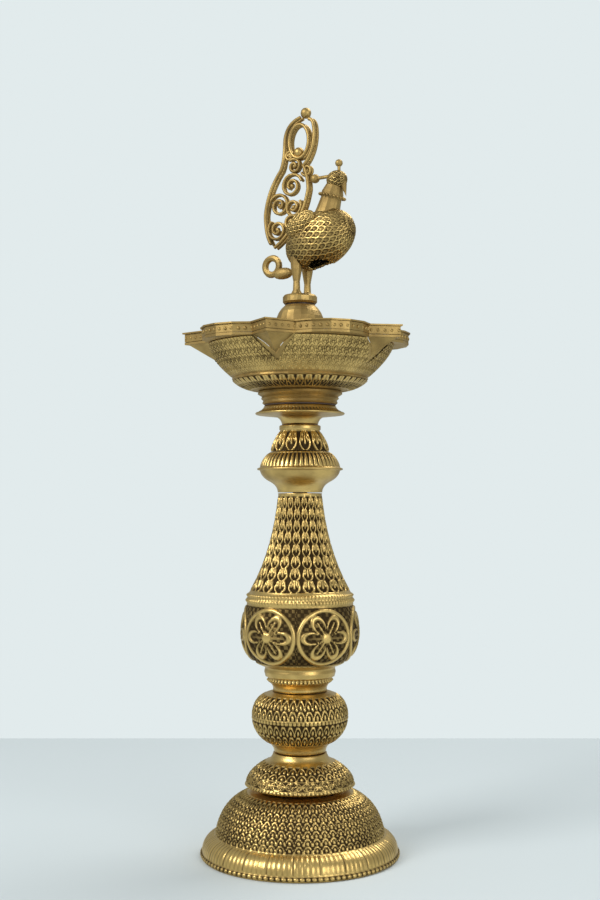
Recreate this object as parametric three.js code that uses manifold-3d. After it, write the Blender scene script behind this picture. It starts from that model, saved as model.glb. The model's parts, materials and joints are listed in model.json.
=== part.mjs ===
// A standing brass oil lamp with a peacock finial: a stack of hollow castings clamped on a
// tie rod, a five-spouted oil bowl, and a bird that screws down onto the pillar in the bowl.
// Millimetres, +Z up. The origin is the centre of the foot, on the surface it stands on.
// The bird faces +X, over the first of the five wick spouts.
import * as THREE from "three";
import { ConvexGeometry } from "three/addons/geometries/ConvexGeometry.js";
import { mergeVertices } from "three/addons/utils/BufferGeometryUtils.js";
import Module from "manifold-3d";

const wasm = await Module();
wasm.setup();

// Driving dimensions
const GAP = 0.3; // between pieces that touch
const ROD_R = 6; // tie rod
const ROD_TOP = 399;
const BORE_R = 6.4; // every hole the tie rod passes through
const STUD_R = 5; // the finial's stud
const NUT_ACROSS = 19;
const WALL = 2.6; // castings

// Heights where one piece of the stem sits on the next
const FOOT_TOP = 52;
const DOME_TOP = 82;
const BULB_TOP = 131;
const VASE_TOP = 291.5;
const KNOP_TOP = 325;
const COLLAR_TOP = 347;
const SAUCER_TOP = 362.5;
const BOWL_FLOOR = 382.5; // inside
const BAND_FOOT = 414.5; // underside of the rim band
const BAND_TOP = 421;
const LIP_TOP = 422.5;
const PILLAR_TOP = 445.5;
const PERCH_TOP = 454; // where the bird stands

// The rim in plan
const SPOUTS = 5;
const SPOUT_TIP_R = 94.5;
const SPOUT_ROOT_R = 78;
const SPOUT_HALF_ANGLE = THREE.MathUtils.degToRad(12.7);
const LOBE_R = 89.5; // furthest point of the lobe between two spouts
const LIP_OUT = 1.4; // the lip stands this far outside the band
const BAND_WALL = 2;

const brass = (color, roughness) =>
  new THREE.MeshStandardMaterial({ color, roughness, metalness: 1 });
const GILT = brass(0xb08d3c, 0.38);
const PATINA = brass(0x9a7a34, 0.5);
const STEEL = brass(0x8f8f8c, 0.4);
const FIBRE = new THREE.MeshStandardMaterial({ color: 0x4a3526, roughness: 0.9 });

const lamp = new THREE.Group();

function add(name, geometry, material) {
  const mesh = new THREE.Mesh(geometry, material);
  mesh.name = name;
  lamp.add(mesh);
  return mesh;
}

// Points in a plane from steps: [x, y] is a straight run, [cx, cy, x, y] a bend past a
// control point, in `parts` chords.
function outline(steps, parts = 3) {
  const points = [];
  let at = null;
  for (const step of steps) {
    const end = new THREE.Vector2(...step.slice(-2));
    if (step.length === 4) {
      const bend = new THREE.QuadraticBezierCurve(at, new THREE.Vector2(step[0], step[1]), end);
      points.push(...bend.getPoints(parts).slice(1));
    } else points.push(end);
    at = end;
  }
  return points;
}

// A ring or solid turned about Z from [radius, height] steps, in either direction.
function turned(steps, sides = 20) {
  let points = outline(steps);
  const onAxis = points[0].x === 0;
  if (THREE.ShapeUtils.area(points) > 0) points = points.reverse();
  if (!onAxis) points.push(points[0].clone());
  else if (points[0].x !== 0) points.push(points.shift());
  return new THREE.LatheGeometry(points.reverse(), sides).rotateX(Math.PI / 2);
}

// A flat shape, from points, pushed up from z0 to z1.
function slab(points, z0, z1, holes = []) {
  const shape = new THREE.Shape(points);
  shape.holes = holes.map((hole) => new THREE.Path(hole));
  const depth = z1 - z0;
  return new THREE.ExtrudeGeometry(shape, { depth, bevelEnabled: false }).translate(0, 0, z0);
}

// The same, standing in the bird's own plane, XZ, and centred on Y = 0.
function plate(points, thickness, holes = []) {
  return slab(points, -thickness / 2, thickness / 2, holes).rotateX(Math.PI / 2);
}

function solid(geometry) {
  const bare = geometry.clone();
  bare.deleteAttribute("normal");
  bare.deleteAttribute("uv");
  const merged = mergeVertices(bare, 1e-3);
  const vertProperties = new Float32Array(merged.attributes.position.array);
  const triVerts = new Uint32Array(merged.index.array);
  return new wasm.Manifold(new wasm.Mesh({ numProp: 3, vertProperties, triVerts }));
}

function geometryOf(manifold) {
  const mesh = manifold.getMesh();
  const geometry = new THREE.BufferGeometry();
  geometry.setAttribute("position", new THREE.BufferAttribute(mesh.vertProperties, 3));
  geometry.setIndex(new THREE.BufferAttribute(mesh.triVerts, 1));
  return geometry;
}

const joined = (first, ...rest) => rest.reduce((a, b) => a.add(solid(b)), solid(first));
const cut = (body, ...tools) => tools.reduce((a, b) => a.subtract(solid(b)), body);

const washer = (inner, outer, z0, z1) =>
  turned([[inner, z0], [outer, z0], [outer, z1], [inner, z1]], 24);

function hexNut(across, bore, z0, z1) {
  const corner = across / Math.sqrt(3);
  const hex = Array.from({ length: 6 }, (_, i) =>
    new THREE.Vector2(corner, 0).rotateAround(new THREE.Vector2(), (i * Math.PI) / 3));
  const hole = new THREE.Path().absarc(0, 0, bore, 0, 2 * Math.PI).getPoints(5).slice(1);
  return slab(hex, z0, z1, bore ? [hole] : []);
}

// The stem, from the ground up
function footBell() {
  return turned([
    [72.5, 0], [79, 0], [80.5, 1.2], [80.5, 3.6], [79, 5], [78.5, 14, 70, 17.2], [68.6, 18],
    [64, 46, 38, FOOT_TOP], [BORE_R, FOOT_TOP], [BORE_R, FOOT_TOP - 3.3], [34, FOOT_TOP - 3.3],
    [60.5, 43, 65.4, 17], [70, 14],
  ], 32);
}

function baseDome() {
  const z0 = FOOT_TOP + GAP;
  return turned([
    [BORE_R, z0], [33, z0], [36, 54.6], [43.4, 55.4], [44.8, 56.7], [44, 58.6],
    [42.5, 68, 27, 75.8], [25.4, 76.4], [22.8, 78, 21.8, DOME_TOP], [BORE_R, DOME_TOP],
    [BORE_R, DOME_TOP - 3], [20, 75], [34, 68, 38, 60], [34, 57.5], [20, z0 + 3], [BORE_R, z0 + 3],
  ], 24);
}

function stemBulb() {
  const z0 = DOME_TOP + GAP;
  return turned([
    [BORE_R, z0], [20.6, z0], [21.4, 84], [22.4, 88.5, 26.6, 90.2], [38, 97, 39.3, 110],
    [39.5, 128, 23, BULB_TOP], [BORE_R, BULB_TOP], [BORE_R, BULB_TOP - 3], [22, BULB_TOP - 4],
    [36, 122, 36, 110], [34, 97, 22, 92], [18, 86], [BORE_R, 85.6],
  ], 24);
}

function stemVase() {
  const z0 = BULB_TOP + GAP;
  return turned([
    [BORE_R, z0], [22.4, z0], [22, 133], [22.6, 137, 26, 138.6], [27.2, 140.2], [26.2, 142.2],
    [28.4, 143.2], [29.4, 147], [28.6, 150.4], [30, 151.2], [47.5, 157, 48.6, 177],
    [48.6, 192, 43.4, 202.4], [44.6, 204.6], [43, 207], [43.8, 209], [41.4, 211.4],
    [23, 243, 18.2, 288], [18.2, VASE_TOP], [BORE_R, VASE_TOP], [BORE_R, VASE_TOP - 3],
    [15.4, VASE_TOP - 4], [20, 243, 38.4, 209.4], [45.6, 190, 45.8, 177], [45, 160, 30, 154.4],
    [24, 142], [BORE_R, z0 + 4],
  ], 24);
}

function stemKnop() {
  const z0 = VASE_TOP + GAP;
  return turned([
    [BORE_R, z0], [18.4, z0], [18.6, 297.4, 25, 300.6], [31.6, 304, 33, 309.6], [35.2, 310.2],
    [35.2, 311.6], [33, 312.6], [31, 320.6, 24.4, KNOP_TOP], [BORE_R, KNOP_TOP],
    [BORE_R, KNOP_TOP - 3], [22.4, KNOP_TOP - 3], [30.4, 314], [29.6, 307], [16, z0 + 6],
    [BORE_R, z0 + 3],
  ]);
}

function piercedCollar() {
  const z0 = KNOP_TOP + GAP;
  return turned([
    [21, z0], [24.2, z0], [23.4, 333, 16.4, 342.4], [17.3, 343.2], [17.3, 346.2],
    [16.4, COLLAR_TOP], [BORE_R, COLLAR_TOP], [BORE_R, COLLAR_TOP - 2.6], [13.4, 343],
    [19.6, 334, 20.8, 328],
  ]);
}

function dripSaucer() {
  const z0 = COLLAR_TOP + GAP;
  return turned([
    [BORE_R, z0], [15, z0], [15.8, 352.4, 20, 353.6], [36.2, 355.4], [37, 356.4], [36.2, 357.4],
    [32, 359], [30.2, 361.2], [29.6, SAUCER_TOP], [24, SAUCER_TOP], [23, 359.4], [13, 358.2],
    [13, 351], [BORE_R, 351],
  ], 24);
}

// The tie rod's head pulls up under the foot's crown. Its top is the stud for the pillar.
function tieRod() {
  const headTop = FOOT_TOP - 3.3 - GAP - 1.5 - GAP;
  const headFoot = headTop - 8;
  const rod = turned([[0, headFoot], [ROD_R, headFoot], [ROD_R, ROD_TOP - 1], [ROD_R - 1, ROD_TOP],
    [0, ROD_TOP]], 16);
  return geometryOf(joined(rod, hexNut(NUT_ACROSS, 0, headFoot, headTop)));
}

// The star of the rim, as points: a pointed spout, then a round lobe, five times over.
function rimStar(grow = 0) {
  const points = [];
  const step = (2 * Math.PI) / SPOUTS;
  const rootX = SPOUT_ROOT_R * Math.cos(step / 2 - SPOUT_HALF_ANGLE);
  const halfChord = SPOUT_ROOT_R * Math.sin(step / 2 - SPOUT_HALF_ANGLE);
  const rise = LOBE_R - rootX;
  const lobeRadius = (halfChord ** 2 + rise ** 2) / (2 * rise);
  const sweep = Math.asin(halfChord / lobeRadius);
  const chords = 5;
  for (let k = 0; k < SPOUTS; k++) {
    points.push(polar(SPOUT_TIP_R, k * step));
    for (let i = 0; i <= chords; i++) {
      const turn = -sweep + (2 * sweep * i) / chords;
      const onLobe = polar(lobeRadius, turn).add(new THREE.Vector2(LOBE_R - lobeRadius, 0));
      points.push(onLobe.rotateAround(new THREE.Vector2(), (k + 0.5) * step));
    }
  }
  return grown(points, grow);
}

const polar = (r, angle) => new THREE.Vector2(r * Math.cos(angle), r * Math.sin(angle));

// Each edge of an anticlockwise outline moved out by `by`, and met again at the corners.
function grown(points, by) {
  if (!by) return points;
  return points.map((p, i) => {
    const before = p.clone().sub(points.at(i - 1)).normalize();
    const after = points[(i + 1) % points.length].clone().sub(p).normalize();
    const normal = new THREE.Vector2(before.y + after.y, -before.x - after.x).normalize();
    const reach = by / Math.max(0.5, normal.dot(new THREE.Vector2(before.y, -before.x)));
    return p.clone().addScaledVector(normal, reach);
  });
}

// One wick spout: a folded plate like the prow of a boat, over a notch in the bowl's wall.
const SPOUT_LOW = [61, 395]; // radius and height of its lowest point, on the wall
function spoutHull(grow, scale = 1) {
  const root = polar(SPOUT_ROOT_R, SPOUT_HALF_ANGLE);
  const centre = new THREE.Vector3(70, 0, 417);
  const corners = [
    [root.x, root.y + grow, BAND_FOOT], [root.x, -root.y - grow, BAND_FOOT],
    [SPOUT_TIP_R + grow, 0, BAND_FOOT], [SPOUT_LOW[0], 0, SPOUT_LOW[1] - grow],
    [root.x - 6, root.y + grow, BAND_FOOT], [root.x - 6, -root.y - grow, BAND_FOOT],
  ].map((c) => new THREE.Vector3(...c).sub(centre).multiplyScalar(scale).add(centre));
  if (scale === 1) return new ConvexGeometry(corners);
  const sky = corners.slice(0, 3).map((c) => c.clone().setZ(BAND_FOOT + 6));
  const inside = [new THREE.Vector3(64, 12, 417), new THREE.Vector3(64, -12, 417)];
  return new ConvexGeometry([...corners, ...sky, ...inside]);
}

const HOLLOW = 0.86; // the trough inside a spout, as a share of its outside
const spoutTurn = (k) => (k * 2 * Math.PI) / SPOUTS;

// The bowl's outside, turned: foot rings, flower band, ledge, then the lattice wall.
const BOWL_SIDES = 30;
const BOWL_FOOT = SAUCER_TOP + GAP + 0.8 + GAP;
const bowlOutside = [
  [29.8, BOWL_FOOT], [31, 365], [30.2, 367], [32, 368.6], [31.2, 370.2], [34.8, 372.4],
  [34.4, 374], [33, 374.7], [37.6, 375.6], [49, 377.5, 54.8, 383.4], [56, 384.4], [55.4, 385.8],
  [72, 400, 77, BAND_FOOT],
];
const bowlInside = [
  [74.4, BAND_FOOT], [69, 402, 52, 387.5], [46, 384, 38, BOWL_FLOOR], [BORE_R, BOWL_FLOOR],
  [BORE_R, BOWL_FLOOR - 3], [24, BOWL_FLOOR - 3], [24, BOWL_FOOT],
];

function oilBowl() {
  const shelf = slab(rimStar(), BAND_FOOT - 2, BAND_FOOT, [circle(75.5, BOWL_SIDES)]);
  let bowl = joined(turned([...bowlOutside, ...bowlInside], BOWL_SIDES), shelf);
  for (let k = 0; k < SPOUTS; k++) {
    bowl = cut(bowl, spoutHull(GAP).rotateZ(spoutTurn(k)), spoutHull(0, HOLLOW).rotateZ(spoutTurn(k)));
  }
  return geometryOf(bowl);
}

const circle = (r, sides) => Array.from({ length: sides }, (_, i) =>
  polar(r, (2 * Math.PI * i) / sides));

// A spout, less the casting it laps: only what stands outside the bowl's wall is left.
function wickSpout(k) {
  const rim = bowlOutside.slice(-2);
  const wall = turned([[0, 380], [50, 380], ...rim, [77, 416], [0, 416]], BOWL_SIDES);
  const hull = cut(solid(spoutHull(0)), spoutHull(0, HOLLOW), wall);
  return geometryOf(hull).rotateZ(spoutTurn(k));
}

const starRing = (out, inside, z0, z1) =>
  slab(rimStar(out), z0, z1, [rimStar(inside)]);

// The pillar: a flange on the bowl's floor, a column, and the ball the finial sits on.
const BALL_R = 20;
const BALL_Z = 430;
function centrePillar() {
  const z0 = BOWL_FLOOR + GAP + 1 + GAP;
  const ball = (z) => Math.sqrt(BALL_R ** 2 - (z - BALL_Z) ** 2);
  const levels = [412.2, 415, 419, 424, 430, 436, 440, 443, PILLAR_TOP];
  const stud = STUD_R + 0.4;
  return turned([
    [BORE_R, z0], [13.5, z0], [13.5, 386.6], [9.4, 387, 9, 392], ...levels.map((z) => [ball(z), z]),
    [stud, PILLAR_TOP], [stud, PILLAR_TOP - 13], [0, PILLAR_TOP - 13],
  ].concat([[0, 404], [BORE_R, 404]]));
}

function perch() {
  const z0 = PILLAR_TOP + GAP + 0.8 + GAP;
  const stud = STUD_R + 0.4;
  return turned([
    [stud, z0], [13, z0], [14.2, 448.4], [14.2, 452.4], [13, PERCH_TOP], [0, PERCH_TOP],
    [0, PERCH_TOP - 2], [stud, PERCH_TOP - 2],
  ], 28);
}

const finialStud = () => turned([[0, PILLAR_TOP - 12], [STUD_R, PILLAR_TOP - 12],
  [STUD_R, PERCH_TOP - 2 - GAP], [0, PERCH_TOP - 2 - GAP]], 16);

// The bird. An egg is a sphere drawn out to three half-lengths and nosed up by `lift` degrees.
const deg = THREE.MathUtils.degToRad;

function egg(half, at, lift = 0) {
  return new THREE.SphereGeometry(1, 16, 10).scale(...half).rotateY(-deg(lift)).translate(...at);
}

const BODY_HALF = [33, 19, 23];
const BODY_AT = [20, 0, 498];
const BODY_LIFT = 20;
const BODY_WALL = 2.6;
const HEAD_HALF = [9, 7.5, 7.8];
const HEAD_AT = [36, 0, 545];
const bodyEgg = (by) => egg(BODY_HALF.map((h) => h + by), BODY_AT, BODY_LIFT);
const headEgg = (by) => egg(HEAD_HALF.map((h) => h + by), HEAD_AT);
const CLEAR = 0.4; // left round the body and head by what is soldered to them

// Cast hollow, with the core's hole left open in the belly
function birdBody() {
  const hole = new THREE.CylinderGeometry(11, 11, 24, 16).rotateX(Math.PI / 2).translate(21, 0, 472);
  return geometryOf(cut(solid(bodyEgg(0)), bodyEgg(-BODY_WALL), hole));
}

function leg(side) {
  const z0 = PERCH_TOP + GAP;
  const shank = turned([[0, z0], [4.6, z0], [3, z0 + 3], [2.7, z0 + 10], [4.5, z0 + 20],
    [5.4, z0 + 30], [0, z0 + 30]], 12).translate(2, side * 8, 0);
  return geometryOf(cut(solid(shank), bodyEgg(CLEAR)));
}

function neck() {
  const tube = turned([[0, 0], [11.5, 0], [9.6, 12], [8.4, 22], [9, 23.5], [9, 26], [7, 32], [0, 32]]);
  const leaning = tube.rotateY(deg(18)).translate(24, 0, 510);
  return geometryOf(cut(solid(leaning), bodyEgg(CLEAR), headEgg(CLEAR)));
}

function beak() {
  const cone = new THREE.ConeGeometry(3.6, 14, 10).rotateX(Math.PI / 2).rotateY(deg(166));
  return geometryOf(cut(solid(cone.translate(43.2, 0, 537)), headEgg(CLEAR)));
}

function crest() {
  const stalk = turned([[0, 548], [1.3, 548], [1.3, 557], [0, 557]], 10).translate(38, 0, 0);
  return geometryOf(cut(joined(stalk, egg([3.1, 3.1, 3.1], [38, 0, 558.5])), headEgg(CLEAR)));
}

function napeTassel() {
  const bar = new THREE.CylinderGeometry(1.5, 1.5, 16, 10).rotateZ(Math.PI / 2).translate(22, 0, 549);
  return geometryOf(cut(joined(bar, egg([3.8, 3.8, 3.8], [15, 0, 549])), headEgg(CLEAR)));
}

const wing = (side) =>
  geometryOf(cut(solid(egg([15, 5, 8], [10, side * 14.5, 510], 28)), bodyEgg(CLEAR)));

const oval = (x, z, halfX, halfZ) => Array.from({ length: 16 }, (_, i) => {
  const turn = (i * Math.PI) / 8;
  return new THREE.Vector2(x + halfX * Math.cos(turn), z + halfZ * Math.sin(turn));
});

// The raised tail: a pierced plate that sweeps up behind the head to a loop with a bud on top
function tailPlume() {
  const edge = outline([
    [-4, 500], [-24, 493.6], [-33, 502, -33.6, 524], [-31, 544, -17.8, 560], [-14, 566, -14, 582],
    [-13, 600, 4, 603], [16, 602, 15.8, 584], [14, 568, 4, 561], [9, 552, 9.9, 541],
    [7, 528, 1, 518],
  ]);
  const holes = [oval(0.5, 583, 8.5, 12.5), oval(-8, 545, 5, 5.5), oval(-20, 528, 4.5, 6)];
  const bud = egg([6, 6, 6], [5.9, 0, 605]);
  const drop = egg([4.5, 4.5, 4.5], [-1, 0, 571.5]);
  return geometryOf(cut(joined(plate(edge, 8, holes), bud, drop), bodyEgg(CLEAR)));
}

function tailCurl() {
  const loop = new THREE.TorusGeometry(7, 2.8, 8, 20).rotateX(Math.PI / 2).translate(-28, 0, 481);
  return geometryOf(cut(joined(loop, egg([10, 4, 5], [-17, 0, 474])), bodyEgg(CLEAR)));
}

add("foot_bell", footBell(), GILT);
add("foot_washer", washer(BORE_R, 20, FOOT_TOP - 5.1, FOOT_TOP - 3.6), STEEL);
add("tie_rod", tieRod(), STEEL);
add("base_dome", baseDome(), GILT);
add("stem_bulb", stemBulb(), GILT);
add("stem_vase", stemVase(), PATINA);
add("stem_knop", stemKnop(), GILT);
add("pierced_collar", piercedCollar(), PATINA);
add("drip_saucer", dripSaucer(), GILT);
add("stem_washer", washer(BORE_R, 12.4, 351 + GAP, 352.5), STEEL);
add("stem_nut", hexNut(NUT_ACROSS, BORE_R, 352.8, 361), STEEL);
add("bowl_washer", washer(24.6, 29.2, SAUCER_TOP + GAP, SAUCER_TOP + GAP + 0.8), FIBRE);
add("oil_bowl", oilBowl(), GILT);
for (let k = 0; k < SPOUTS; k++) add(`wick_spout_${k + 1}`, wickSpout(k), GILT);
add("coin_band", starRing(0, -BAND_WALL, BAND_FOOT + GAP, BAND_TOP), GILT);
add("rim_lip", starRing(LIP_OUT, -BAND_WALL - 1, BAND_TOP + GAP, LIP_TOP), GILT);
add("pillar_washer", washer(BORE_R, 12.6, BOWL_FLOOR + GAP, BOWL_FLOOR + GAP + 1), FIBRE);
add("centre_pillar", centrePillar(), GILT);
add("finial_washer", washer(STUD_R + 0.6, 11.4, PILLAR_TOP + GAP, PILLAR_TOP + GAP + 0.8), FIBRE);
add("perch", perch(), GILT);
add("finial_stud", finialStud(), STEEL);
add("leg_left", leg(1), GILT);
add("leg_right", leg(-1), GILT);
add("peacock_body", birdBody(), GILT);
add("wing_left", wing(1), PATINA);
add("wing_right", wing(-1), PATINA);
add("neck", neck(), GILT);
add("head", headEgg(0), GILT);
add("beak", beak(), GILT);
add("crest_ball", crest(), GILT);
add("nape_tassel", napeTassel(), PATINA);
add("tail_plume", tailPlume(), PATINA);
add("tail_curl", tailCurl(), GILT);

export default lamp;
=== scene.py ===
# %% [markdown]
# A brass oil lamp with a bird on top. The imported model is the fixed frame: it holds every piece at its
# real size and place. This lesson puts the worked surface on it: cast relief, patina and wear.

# %% Load the frame
import json
import math

import bpy
import numpy as np
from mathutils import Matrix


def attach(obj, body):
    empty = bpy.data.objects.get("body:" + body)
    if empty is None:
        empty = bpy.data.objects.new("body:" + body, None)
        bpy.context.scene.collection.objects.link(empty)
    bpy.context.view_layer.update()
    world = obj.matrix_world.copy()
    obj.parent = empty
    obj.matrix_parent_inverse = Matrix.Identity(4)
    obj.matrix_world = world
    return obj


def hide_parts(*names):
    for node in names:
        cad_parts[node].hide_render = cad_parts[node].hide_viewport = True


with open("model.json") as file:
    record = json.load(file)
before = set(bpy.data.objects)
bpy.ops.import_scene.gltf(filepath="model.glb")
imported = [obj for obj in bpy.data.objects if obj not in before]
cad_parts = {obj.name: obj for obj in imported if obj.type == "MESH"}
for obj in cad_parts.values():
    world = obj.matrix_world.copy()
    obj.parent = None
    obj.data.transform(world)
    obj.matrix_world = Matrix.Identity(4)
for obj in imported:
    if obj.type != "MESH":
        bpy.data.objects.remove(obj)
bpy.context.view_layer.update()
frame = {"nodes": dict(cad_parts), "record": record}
nodes = frame["nodes"]
MM = 0.001
TURN = 2 * math.pi
print("frame:", len(nodes), "nodes")

# %% [markdown]
# The photograph was taken from a little above the foot and below the bowl, so the rim is seen from
# underneath. A 50 mm lens about a metre away gives the same ellipses at the foot and at the rim.

# %% Camera
AZIMUTH = math.radians(33.8)
DISTANCE = 1.023
EYE_HEIGHT = 0.282
PITCH_UP = math.radians(2.5)
lens = bpy.data.cameras.new("camera")
lens.lens = 50
lens.sensor_width = 36
camera = bpy.data.objects.new("camera", lens)
camera.location = (DISTANCE * math.sin(AZIMUTH), -DISTANCE * math.cos(AZIMUTH), EYE_HEIGHT)
camera.rotation_euler = (math.pi / 2 + PITCH_UP, 0, AZIMUTH)
bpy.context.collection.objects.link(camera)
bpy.context.scene.camera = camera
print("camera at", [round(v, 3) for v in camera.location])

# %% [markdown]
# Old brass is bright where hands and cloths reach it and brown-black in the recesses. One node group
# mixes the two by a relief mask and two noises, so every brass material wears in the same way.

# %% Wear group
def build_wear_group():
    group = bpy.data.node_groups.new("brass_wear", "ShaderNodeTree")
    face = group.interface
    for name, kind in (("Vector", "Vector"), ("Relief", "Float"), ("Bright", "Color"), ("Dark", "Color")):
        face.new_socket(name, in_out="INPUT", socket_type="NodeSocket" + kind)
    for name, kind in (("Color", "Color"), ("Roughness", "Float"), ("Height", "Float")):
        face.new_socket(name, in_out="OUTPUT", socket_type="NodeSocket" + kind)
    new, link = group.nodes.new, group.links.new
    inlet, outlet = new("NodeGroupInput"), new("NodeGroupOutput")
    blotch, grain = new("ShaderNodeTexNoise"), new("ShaderNodeTexNoise")
    blotch.inputs["Scale"].default_value = 55
    blotch.inputs["Detail"].default_value = 6
    grain.inputs["Scale"].default_value = 900
    grain.inputs["Detail"].default_value = 3
    for noise in (blotch, grain):
        link(inlet.outputs["Vector"], noise.inputs["Vector"])
    worn = new("ShaderNodeMath")
    worn.operation = "MULTIPLY_ADD"
    worn.inputs[1].default_value = 0.9
    link(blotch.outputs["Fac"], worn.inputs[0])
    link(inlet.outputs["Relief"], worn.inputs[2])
    spread = new("ShaderNodeMapRange")
    spread.inputs["From Min"].default_value = 0.62
    spread.inputs["From Max"].default_value = 1.35
    link(worn.outputs[0], spread.inputs["Value"])
    mix = new("ShaderNodeMix")
    mix.data_type = "RGBA"
    link(spread.outputs[0], mix.inputs["Factor"])
    link(inlet.outputs["Dark"], mix.inputs["A"])
    link(inlet.outputs["Bright"], mix.inputs["B"])
    gloss = new("ShaderNodeMapRange")
    gloss.inputs["To Min"].default_value = 0.7
    gloss.inputs["To Max"].default_value = 0.3
    link(spread.outputs[0], gloss.inputs["Value"])
    link(mix.outputs["Result"], outlet.inputs["Color"])
    link(gloss.outputs[0], outlet.inputs["Roughness"])
    link(grain.outputs["Fac"], outlet.inputs["Height"])
    return group


wear = build_wear_group()
print("wear group:", len(wear.nodes), "nodes")


# %% Materials
def brass(name, bright, dark, relief=None, metallic=1.0):
    material = bpy.data.materials.new(name)
    material.use_nodes = True
    tree = material.node_tree
    shader = tree.nodes["Principled BSDF"]
    shader.inputs["Metallic"].default_value = metallic
    place = tree.nodes.new("ShaderNodeTexCoord")
    group = tree.nodes.new("ShaderNodeGroup")
    group.node_tree = wear
    group.inputs["Bright"].default_value = (*bright, 1)
    group.inputs["Dark"].default_value = (*dark, 1)
    tree.links.new(place.outputs["Object"], group.inputs["Vector"])
    if relief is None:
        mask = tree.nodes.new("ShaderNodeAttribute")
        mask.attribute_name = "relief"
        tree.links.new(mask.outputs["Fac"], group.inputs["Relief"])
    else:
        group.inputs["Relief"].default_value = relief
    bump = tree.nodes.new("ShaderNodeBump")
    bump.inputs["Strength"].default_value = 0.25
    bump.inputs["Distance"].default_value = 0.0004
    tree.links.new(group.outputs["Color"], shader.inputs["Base Color"])
    tree.links.new(group.outputs["Roughness"], shader.inputs["Roughness"])
    tree.links.new(group.outputs["Height"], bump.inputs["Height"])
    tree.links.new(bump.outputs["Normal"], shader.inputs["Normal"])
    return material


GOLD = (0.69, 0.475, 0.165)
BROWN = (0.06, 0.038, 0.016)
worked = brass("worked_brass", GOLD, BROWN)
plain = brass("plain_brass", GOLD, (0.2, 0.13, 0.05), relief=0.5)
iron = brass("iron", (0.42, 0.41, 0.4), (0.12, 0.09, 0.07), relief=0.5)
leather = brass("leather", (0.14, 0.08, 0.045), (0.05, 0.03, 0.02), relief=0.5, metallic=0.0)
OF_SLOT = {"antique_brass": plain, "dark_brass": plain, "iron_fittings": iron, "leather_washer": leather}
slot_of = {part["node"]: part["material_slot"] for part in frame["record"]["subparts"]}
for name, node in nodes.items():
    node.data.materials.clear()
    node.data.materials.append(OF_SLOT[slot_of[name]])
print("materials on", len(nodes), "nodes")

# %% [markdown]
# Each ornament is a height over one cell of its pattern: x runs from -1 to 1 across the cell and y from
# 0 to 1 up it. A height of 1 is the wire or petal, and 0 is the ground behind it.

# %% Patterns
def ridge(distance, width):
    return np.clip(1.5 - np.abs(distance) / width, 0, 1)


def arches(x, y):
    arch = ridge(y - (0.92 - 0.8 * x * x), 0.13)
    bud = np.clip(1.4 - (x / 0.3) ** 2 - ((y - 0.32) / 0.26) ** 2, 0, 1)
    bead = np.clip(1.5 - ((np.abs(x) - 1) / 0.28) ** 2 - ((y - 0.12) / 0.16) ** 2, 0, 1)
    return np.maximum.reduce([arch, bud, bead])


def petals(x, y):
    return np.clip(1.15 - (np.abs(x) / np.sqrt(np.clip(1.02 - y, 0.02, 1))) ** 3, 0, 1)


def flutes(x, y):
    return np.sqrt(np.clip(1 - 0.92 * x * x, 0, 1))


def beads(x, y):
    return np.sqrt(np.clip(1 - x * x - (2 * y - 1) ** 2, 0, 1))


def flowers(x, y):
    v = 2 * y - 1
    r, turn = np.hypot(x, v), np.arctan2(v, x)
    petal = ridge(r - 0.78 * np.abs(np.cos(3 * turn)) ** 0.5, 0.085)
    heart = np.clip(1.6 - (r / 0.16) ** 2, 0, 1)
    vein = ridge(np.sin(3 * turn) * r, 0.06) * (r < 0.62)
    ring = ridge(r - 0.93, 0.06)
    ground = 0.3 * (np.sin(26 * x) * np.sin(26 * v) > 0)
    return np.maximum.reduce([petal, heart, vein, ring, ground])


def scrolls(x, y):
    heart = ridge(np.abs(x) - (0.16 + 0.7 * np.sin(math.pi * y) ** 0.7 * (1 - 0.35 * y)), 0.12)
    stem = ridge(x, 0.12) * (y > 0.3)
    curl = ridge(np.hypot(np.abs(x) - 0.45, y - 0.72) - 0.17, 0.09)
    return np.maximum.reduce([heart, stem, curl])


def scales(x, y):
    rim = ridge(np.hypot(x, 1 - y) - 0.95, 0.14)
    return np.maximum(rim, 0.75 * np.clip(1 - np.hypot(x, 1 - y), 0, 1))


def cells(pattern, turns, along, count, rows, stagger=False):
    row = np.clip(np.floor(along * rows), 0, rows - 1)
    across = turns * count + (0.5 * (row % 2) if stagger else 0)
    return np.clip(pattern(2 * (across - np.floor(across)) - 1, along * rows - row), 0, 1)


print("patterns ready")

# %% [markdown]
# The castings of the stem are round, so each is a profile spun about the axis. The profile is cut into
# short steps first, fine enough to carry the relief, and the ground of each pattern is then sunk in.

# %% Spinning
FINE = 0.9  # mm between rows


def profile(steps):
    points = [np.array(steps[0], float)]
    for step in steps[1:]:
        start, end = points[-1], np.array(step[-2:], float)
        middle = np.array(step[:2], float) if len(step) == 4 else (start + end) / 2
        span = np.linalg.norm(middle - start) + np.linalg.norm(end - middle)
        for t in np.linspace(0, 1, max(2, int(span / FINE) + 1))[1:]:
            points.append((1 - t) ** 2 * start + 2 * t * (1 - t) * middle + t * t * end)
    return points


def finish_piece(piece, body, replaced, material=worked):
    piece.data.materials.clear()
    piece.data.materials.append(material)
    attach(piece, body)
    if replaced:
        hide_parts(*replaced)


def sink(piece, heights, depth):
    """Push each vertex in along its normal by what its height lacks, and keep the height as a mask."""
    mesh = piece.data
    count = len(mesh.vertices)
    place, normal = np.empty(count * 3), np.empty(count * 3)
    mesh.vertices.foreach_get("co", place)
    mesh.vertex_normals.foreach_get("vector", normal)
    moved = place.reshape(-1, 3) + normal.reshape(-1, 3) * ((heights - 1) * depth * MM)[:, None]
    mesh.vertices.foreach_set("co", moved.ravel())
    mesh.attributes.new("relief", "FLOAT", "POINT").data.foreach_set("value", heights)
    mesh.update()


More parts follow.
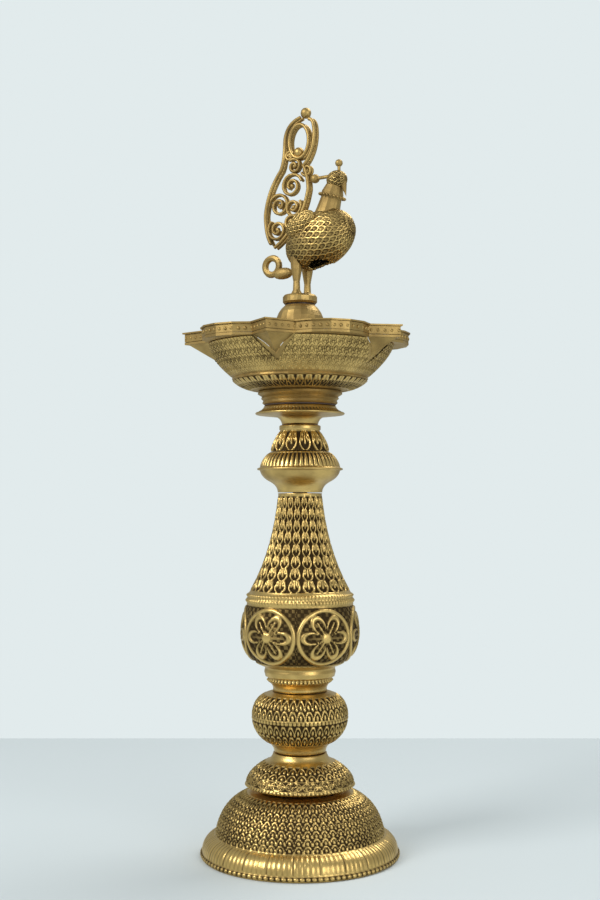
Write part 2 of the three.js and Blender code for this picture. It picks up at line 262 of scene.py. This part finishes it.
def spun(name, node, steps, bands, around=432, depth=1.1):
    points = profile(steps)
    mesh = bpy.data.meshes.new(name)
    line = [(r * MM, 0, z * MM) for r, z in points]
    mesh.from_pydata(line, [(i, i + 1) for i in range(len(line) - 1)], [])
    piece = bpy.data.objects.new(name, mesh)
    bpy.context.collection.objects.link(piece)
    bpy.ops.object.select_all(action="DESELECT")
    piece.select_set(True)
    bpy.context.view_layer.objects.active = piece
    bpy.ops.object.mode_set(mode="EDIT")
    bpy.ops.mesh.select_all(action="SELECT")
    bpy.ops.mesh.spin(steps=around, angle=TURN, center=(0, 0, 0), axis=(0, 0, 1))
    bpy.ops.mesh.select_all(action="SELECT")
    bpy.ops.mesh.remove_doubles(threshold=1e-5)
    bpy.ops.mesh.normals_make_consistent(inside=False)
    bpy.ops.object.mode_set(mode="OBJECT")
    bpy.ops.object.shade_smooth()
    co = np.empty(len(mesh.vertices) * 3)
    mesh.vertices.foreach_get("co", co)
    x, y, z = co.reshape(-1, 3).T
    normal = np.empty(len(co))
    mesh.vertex_normals.foreach_get("vector", normal)
    nx, ny, _ = normal.reshape(-1, 3).T
    outer = (nx * x + ny * y) / np.maximum(np.hypot(x, y), 1e-6) > 0.05
    turns = np.arctan2(y, x) / TURN + 0.5
    heights = np.full(len(x), 0.8)
    for low, high, pattern, count, rows in bands:
        here = outer & (z > low * MM) & (z < high * MM)
        along = (z[here] / MM - low) / (high - low)
        heights[here] = cells(pattern, turns[here], along, count, rows)
    sink(piece, heights, depth)
    if node:
        finish_piece(piece, node_body[node], [node])
    else:
        finish_piece(piece, "bowl", [])
    print(name, len(mesh.polygons), "faces")
    return piece


node_body = {n: body for body, names in frame["record"]["behaviour"]["bodies"].items() for n in names}

# %% Stem castings
spun("foot", "foot_bell", [
    [72.5, 0], [79, 0], [80.5, 1.2], [80.5, 3.6], [79, 5], [78.5, 14, 70, 17.2], [68.6, 18],
    [64, 46, 38, 52], [6.4, 52], [6.4, 48.7], [34, 48.7], [60.5, 43, 65.4, 17], [70, 14], [72.5, 0],
], [(0.8, 4.6, beads, 108, 1), (5.2, 17.4, flutes, 120, 1), (18.6, 50.5, arches, 60, 6)])
spun("upper_foot", "base_dome", [
    [0, 52.3], [33, 52.3], [36, 54.6], [43.4, 55.4], [44.8, 56.7], [44, 58.6], [42.5, 68, 27, 75.8],
    [25.4, 76.4], [22.8, 78, 21.8, 82], [0, 82],
], [(55.5, 58.4, beads, 80, 1), (59, 66, flowers, 20, 1), (66.5, 75, arches, 30, 2)])
spun("bulb", "stem_bulb", [
    [0, 82.3], [20.6, 82.3], [21.4, 84], [22.4, 88.5, 26.6, 90.2], [38, 97, 39.3, 110],
    [39.5, 128, 23, 131], [0, 131],
], [(91, 108, arches, 40, 2), (108.2, 111.6, beads, 72, 1), (112, 129, arches, 36, 2)])
spun("vase", "stem_vase", [
    [0, 131.3], [22.4, 131.3], [22, 133], [22.6, 137, 26, 138.6], [27.2, 140.2], [26.2, 142.2],
    [28.4, 143.2], [29.4, 147], [28.6, 150.4], [30, 151.2], [47.5, 157, 48.6, 177],
    [48.6, 192, 43.4, 202.4], [44.6, 204.6], [43, 207], [43.8, 209], [41.4, 211.4],
    [23, 243, 18.2, 288], [18.2, 291.5], [0, 291.5],
], [(138.8, 141.8, beads, 50, 1), (154, 201, flowers, 6, 1), (203, 206.4, flutes, 90, 1),
    (207.4, 210.6, flutes, 90, 1), (213, 288, scrolls, 20, 8)], depth=1.6)
spun("knop", "stem_knop", [
    [0, 291.8], [18.4, 291.8], [18.6, 297.4, 25, 300.6], [31.6, 304, 33, 309.6], [35.2, 310.2],
    [35.2, 311.6], [33, 312.6], [31, 320.6, 24.4, 325], [0, 325],
], [(313, 324, petals, 50, 1)])
spun("collar", "pierced_collar", [
    [0, 325.3], [24.2, 325.3], [23.4, 333, 16.4, 342.4], [17.3, 343.2], [17.3, 346.2], [16.4, 347],
    [0, 347],
], [(326, 342, scrolls, 12, 1)], depth=1.8)
spun("saucer", "drip_saucer", [
    [0, 347.3], [15, 347.3], [15.8, 352.4, 20, 353.6], [36.2, 355.4], [37, 356.4], [36.2, 357.4],
    [32, 359], [30.2, 361.2], [29.6, 362.5], [0, 362.5],
], [(357.6, 360.4, beads, 70, 1)])

# %% [markdown]
# The bowl's wall carries rows of small arches. The casting stays as it is, with its spouts cut in, and
# the ornament is a thin sleeve round it, opened where each spout comes through.

# %% Bowl ornament
SPOUTS = 5
SPOUT_STEP = TURN / SPOUTS
SPOUT_LOW = 394  # mm, where a spout starts on the wall
SPOUT_HIGH = 414
SPOUT_HALF = math.radians(14)


def open_at_spouts(piece):
    """Select and delete the faces that a spout comes through."""
    mesh = piece.data
    bpy.ops.object.mode_set(mode="EDIT")
    bpy.ops.mesh.select_all(action="DESELECT")
    bpy.ops.object.mode_set(mode="OBJECT")
    for face in mesh.polygons:
        x, y, z = face.center
        share = (z / MM - SPOUT_LOW) / (SPOUT_HIGH - SPOUT_LOW)
        turn = math.atan2(y, x)
        off = abs(turn - SPOUT_STEP * round(turn / SPOUT_STEP))
        face.select = share > 0 and off < SPOUT_HALF * share + math.radians(1)
    bpy.ops.object.mode_set(mode="EDIT")
    bpy.ops.mesh.delete(type="FACE")
    bpy.ops.object.mode_set(mode="OBJECT")


open_at_spouts(spun("bowl_arches", None, [
    [56.6, 386.6], [72.9, 400.2, 77.1, 412], [76.3, 412], [71.6, 400.4, 55.8, 386.6], [56.6, 386.6],
], [(386.8, 411.8, arches, 70, 4)], around=560, depth=0.8))
spun("bowl_scrolls", None, [
    [39.2, 375.4], [49.6, 377.1, 55.6, 383.2], [55, 383.6], [49.2, 377.9, 38.8, 376], [39.2, 375.4],
], [(375.6, 383.3, scrolls, 48, 1)], depth=0.5)

# %% [markdown]
# The bird's body is hollow, cast round a core, and the hole in the belly is where the core came out.
# Feathers are rows of scales that run from breast to tail.

# %% The bird
def egg(name, node, half, at, lift, pattern, count, rows, depth=0.7, hole=None):
    bpy.ops.object.select_all(action="DESELECT")
    bpy.ops.mesh.primitive_uv_sphere_add(segments=192, ring_count=128, radius=1)
    piece = bpy.context.active_object
    piece.name = name
    mesh = piece.data
    co = np.empty(len(mesh.vertices) * 3)
    mesh.vertices.foreach_get("co", co)
    unit = co.reshape(-1, 3)
    turns = np.arctan2(unit[:, 1], unit[:, 2]) / TURN + 0.5
    along = np.arccos(np.clip(unit[:, 0], -1, 1)) / math.pi
    size = unit * np.array(half)
    rise = math.radians(lift)
    x = size[:, 0] * math.cos(rise) - size[:, 2] * math.sin(rise)
    z = size[:, 0] * math.sin(rise) + size[:, 2] * math.cos(rise)
    placed = np.column_stack([x + at[0], size[:, 1] + at[1], z + at[2]]) * MM
    mesh.vertices.foreach_set("co", placed.ravel())
    mesh.update()
    sink(piece, cells(pattern, turns, along, count, rows, stagger=True), depth)
    if hole:
        bpy.ops.object.mode_set(mode="EDIT")
        bpy.ops.mesh.select_all(action="DESELECT")
        bpy.ops.object.mode_set(mode="OBJECT")
        for face in mesh.polygons:
            centre = face.center / MM
            away = math.hypot(centre[0] - hole[0], centre[1])
            face.select = away < hole[1] and centre[2] < at[2]
        bpy.ops.object.mode_set(mode="EDIT")
        bpy.ops.mesh.delete(type="FACE")
        bpy.ops.object.mode_set(mode="OBJECT")
        wall = piece.modifiers.new("wall", "SOLIDIFY")
        wall.thickness = 2 * MM
        bpy.ops.object.modifier_apply(modifier="wall")
    bpy.ops.object.shade_smooth()
    finish_piece(piece, "finial", [node])
    print(name, len(mesh.polygons), "faces")


egg("bird_body", "peacock_body", [33, 19, 23], [20, 0, 498], 20, scales, 26, 18, hole=(21, 11))
egg("bird_head", "head", [9, 7.5, 7.8], [36, 0, 545], 0, scales, 14, 9, depth=0.4)
egg("near_wing", "wing_right", [15, 5, 8], [10, -14.9, 510], 28, scales, 12, 10, depth=0.5)
egg("far_wing", "wing_left", [15, 5, 8], [10, 14.9, 510], 28, scales, 12, 10, depth=0.5)

# %% [markdown]
# Cast beads edge the raised tail. One bead is modelled with few faces and copied along each line.

# %% Bead rows
def bead_row(name, body, points, radius):
    verts, faces = [], []
    bpy.ops.object.select_all(action="DESELECT")
    bpy.ops.mesh.primitive_uv_sphere_add(segments=10, ring_count=6, radius=radius * MM)
    first = bpy.context.active_object
    shape = [tuple(v.co) for v in first.data.vertices]
    sides = [tuple(p.vertices) for p in first.data.polygons]
    bpy.data.objects.remove(first)
    for x, y, z in points:
        base = len(verts)
        verts += [(a + x * MM, b + y * MM, c + z * MM) for a, b, c in shape]
        faces += [tuple(base + i for i in side) for side in sides]
    mesh = bpy.data.meshes.new(name)
    mesh.from_pydata(verts, [], faces)
    mesh.shade_smooth()
    piece = bpy.data.objects.new(name, mesh)
    bpy.context.collection.objects.link(piece)
    finish_piece(piece, body, [], plain)
    print(name, len(points), "beads")


def spaced(steps, gap):
    line = profile(steps)
    kept, run = [line[0]], 0
    for a, b in zip(line, line[1:]):
        run += np.linalg.norm(b - a)
        if run >= gap:
            kept.append(b)
            run = 0
    return kept


TIP_R, ROOT_R, LOBE_R = 94.5, 78, 89.5  # mm, the rim band in plan
ROOT_TURN = math.radians(12.7)


def rim_plan():
    """The band's outline: a straight run to each spout's tip and an arc round each lobe."""
    half = SPOUT_STEP / 2 - ROOT_TURN
    chord, across = ROOT_R * math.sin(half), LOBE_R - ROOT_R * math.cos(half)
    radius = (chord ** 2 + across ** 2) / (2 * across)
    sweep = math.asin(chord / radius)
    plan = []
    for k in range(SPOUTS):
        plan.append((TIP_R, k * SPOUT_STEP, 0, 0))
        plan += [(LOBE_R - radius, (k + 0.5) * SPOUT_STEP, radius, t) for t in np.linspace(-sweep, sweep, 24)]
    return [[a * math.cos(b) + r * math.cos(b + t), a * math.sin(b) + r * math.sin(b + t)] for a, b, r, t in plan]


STUD_SINK = 0.992  # the studs sit a little into the band
studs = [(x * STUD_SINK, y * STUD_SINK, 417.7) for x, y in spaced(rim_plan() + rim_plan()[:1], 5.4)]
bead_row("band_studs", "bowl", studs, 1.35)

BACK_EDGE = [[-28, 500], [-33, 508, -33.2, 524], [-31, 544, -17.8, 559.5], [-14, 566, -13.6, 582],
             [-13, 598, 2, 601.5]]
FRONT_EDGE = [[10.5, 599], [16, 598, 15.4, 584], [14, 569, 5, 561], [9.4, 552, 9.6, 541], [7, 528, 2, 520]]


# %% [markdown]
# The raised tail is openwork: cast rods follow both edges, and spirals fill the space between them.
# Each rod is a curve with a round section, made a mesh, and the pairs stand either side of the middle.

# %% Tail openwork
def spiral(x, z, radius, start, turns):
    return [(x + radius * (1 - 0.75 * t) * math.cos(start + turns * TURN * t),
             z + radius * (1 - 0.75 * t) * math.sin(start + turns * TURN * t))
            for t in np.linspace(0, 1, 28)]


INNER = [[0, 520], [-6, 512, -12, 505], [-18, 499, -24, 496]]
ROUND_HOLE = [(0.5 + 9.5 * math.cos(t), 582 + 14 * math.sin(t)) for t in np.linspace(0, TURN, 33)]
SPIRALS = [(-7.5, 546, 10.5, 0.3, 1.6), (-20, 531, 10, 2.6, -1.6), (-6, 528, 8.5, 0.6, -1.5),
           (-22, 511, 9.5, 2.2, 1.6), (-8, 515, 7, 0.2, 1.4), (7.5, 557, 5, 3.4, 1.4),
           (-5, 562, 6.5, 2.2, -1.4), (-9.5, 571, 4, 1.2, 1.3)]


def rods(name, lines, radius, sides):
    curve = bpy.data.curves.new(name, "CURVE")
    curve.dimensions = "3D"
    curve.bevel_depth = radius * MM
    curve.bevel_resolution = 2
    curve.use_fill_caps = True
    for line in lines:
        for side in sides:
            spline = curve.splines.new("POLY")
            spline.points.add(len(line) - 1)
            for point, (x, z) in zip(spline.points, line):
                point.co = (x * MM, side * MM, z * MM, 1)
    rod = bpy.data.objects.new(name, curve)
    bpy.context.collection.objects.link(rod)
    bpy.ops.object.select_all(action="DESELECT")
    rod.select_set(True)
    bpy.context.view_layer.objects.active = rod
    bpy.ops.object.convert(target="MESH")
    rod = bpy.context.active_object
    bpy.ops.object.shade_smooth()
    finish_piece(rod, "finial", [], plain)
    print(name, len(rod.data.polygons), "faces")
    return rod


edges = [profile(BACK_EDGE), profile(FRONT_EDGE), profile(INNER)]
tail = rods("tail_rods", [*edges, ROUND_HOLE], 1.5, (-2.4, 2.4))
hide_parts("tail_plume")
rods("tail_spirals", [spiral(*s) for s in SPIRALS], 1.25, (-1.6, 1.6))
bead_row("tail_buds", "finial", [(5.9, 0, 605), (-1, 0, 573)], 4.6)
bead_row("tail_hearts", "finial", [(x, 0, z) for x, z, *_ in SPIRALS], 2.3)

edge_beads = [(x, side * 2.2, z) for steps in (BACK_EDGE, FRONT_EDGE) for x, z in spaced(steps, 2.9)
              for side in (-1, 1)]
bead_row("tail_beads", "finial", edge_beads, 1.5)
necklace = [(31.5 + 10.2 * math.cos(t), 10.2 * math.sin(t), 532 - 3 * math.cos(t))
            for t in np.linspace(0, TURN, 22, endpoint=False)]
bead_row("necklace", "finial", necklace, 1.2)
eyes = [(40, side * 6.6, 546.5) for side in (-1, 1)]
bead_row("eyes", "finial", eyes, 1.6)

# %% [markdown]
# A pale floor and soft lamps. The camera and the metal both see the pale backdrop, while the lamps stay
# low enough that nothing pale clips.

# %% Studio
PALE = (0.76, 0.83, 0.84, 1)
bpy.ops.object.select_all(action="DESELECT")
FLOOR_SIZE = 4
BEHIND = 0.5  # metres of floor behind the lamp
forward = FLOOR_SIZE / 2 - BEHIND
bpy.ops.mesh.primitive_plane_add(
    size=FLOOR_SIZE, rotation=(0, 0, AZIMUTH),
    location=(forward * math.sin(AZIMUTH), -forward * math.cos(AZIMUTH), 0))
floor = bpy.context.active_object
floor.name = "floor"
paint = bpy.data.materials.new("floor_paint")
paint.use_nodes = True
paint.node_tree.nodes["Principled BSDF"].inputs["Base Color"].default_value = (0.62, 0.67, 0.68, 1)
paint.node_tree.nodes["Principled BSDF"].inputs["Roughness"].default_value = 0.8
floor.data.materials.append(paint)

world = bpy.data.worlds.new("studio")
bpy.context.scene.world = world
world.use_nodes = True
sky = world.node_tree
back = sky.nodes["Background"]
back.inputs["Color"].default_value = PALE
path = sky.nodes.new("ShaderNodeLightPath")
seen = sky.nodes.new("ShaderNodeMath")
seen.operation = "MAXIMUM"
strength = sky.nodes.new("ShaderNodeMapRange")
strength.inputs["To Min"].default_value = 0.55
strength.inputs["To Max"].default_value = 1.0
sky.links.new(path.outputs["Is Camera Ray"], seen.inputs[0])
sky.links.new(path.outputs["Is Transmission Ray"], seen.inputs[1])
sky.links.new(seen.outputs[0], strength.inputs["Value"])
sky.links.new(strength.outputs[0], back.inputs["Strength"])


def lamp(name, place, size, power):
    light = bpy.data.lights.new(name, "AREA")
    light.size = size
    light.energy = power
    holder = bpy.data.objects.new(name, light)
    holder.location = place
    aim = -holder.location + holder.location.__class__((0, 0, 0.3))
    holder.rotation_euler = aim.to_track_quat("-Z", "Y").to_euler()
    bpy.context.collection.objects.link(holder)


lamp("key", (-0.6, -1.6, 1.5), 0.9, 26)
lamp("fill", (1.8, -0.7, 0.7), 1.2, 11)
lamp("top", (0.3, 0.9, 1.9), 1.0, 16)
bpy.context.scene.view_settings.view_transform = "Standard"
